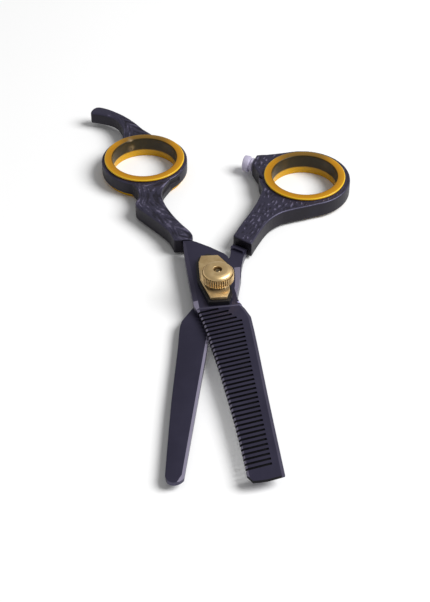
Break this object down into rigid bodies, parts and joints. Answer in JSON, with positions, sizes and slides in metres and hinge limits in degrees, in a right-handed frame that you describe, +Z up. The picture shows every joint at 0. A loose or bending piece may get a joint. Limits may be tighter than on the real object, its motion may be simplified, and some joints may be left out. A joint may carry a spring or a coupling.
{
  "type": "thinning shears",
  "caption": "Hair thinning shears: comb-toothed blade over a plain blade, ringed handles with amber inserts, finger rest and knurled tension knob.",
  "frame": {"origin": "pivot axis where it meets the surface the shears lie on, the middle of the pivot stud's head face", "axes": "+Z up along the pivot axis, blade tips towards -Y, handles towards +Y, toothed blade and thumb ring towards +X"},
  "size_m": [0.0886, 0.1724, 0.0134],
  "materials": {
    "blade_steel": "gunmetal coating, satin, polished at the ground edges",
    "handle_metal": "gunmetal coating over carved relief, semi-gloss",
    "amber_insert": "translucent amber, glossy",
    "clear_bumper": "translucent, pale violet",
    "pivot_steel": "turned steel",
    "bush_plastic": "natural acetal",
    "black_plastic": "moulded black",
    "brass": "brushed gold-coloured brass"
  },
  "bodies": {
    "thumb_half": {"plain_blade": "blade_steel", "thumb_handle": "handle_metal", "thumb_ring_insert": "amber_insert", "bumper": "clear_bumper", "pivot_stud": "pivot_steel", "thrust_washer": "pivot_steel", "disc_spring_lower": "pivot_steel"},
    "finger_half": {"toothed_blade": "blade_steel", "finger_handle": "handle_metal", "finger_ring_insert": "amber_insert", "pivot_bush": "bush_plastic", "tension_base": "black_plastic", "tension_plate": "brass"},
    "spring_top": {"disc_spring_upper": "pivot_steel"},
    "knob": {"tension_knob": "brass"}
  },
  "joints": [
    {"name": "pivot", "type": "hinge", "parent": "thumb_half", "child": "finger_half", "pos_m": [0, 0, 0], "axis": [0, 0, 1], "range_deg": [-16, 115]},
    {"name": "knob_lift", "type": "slide", "parent": "thumb_half", "child": "spring_top", "axis": [0, 0, 1], "range_m": [-0.0000833, 0.0005]},
    {"name": "knob_turn", "type": "hinge", "parent": "spring_top", "child": "knob", "pos_m": [0, 0, 0.0112], "axis": [0, 0, 1], "range_deg": [-61, 361]}
  ],
  "couplings": [
    {"joint": "knob_turn", "follows": "knob_lift", "rad_per_m": 12566}
  ]
}
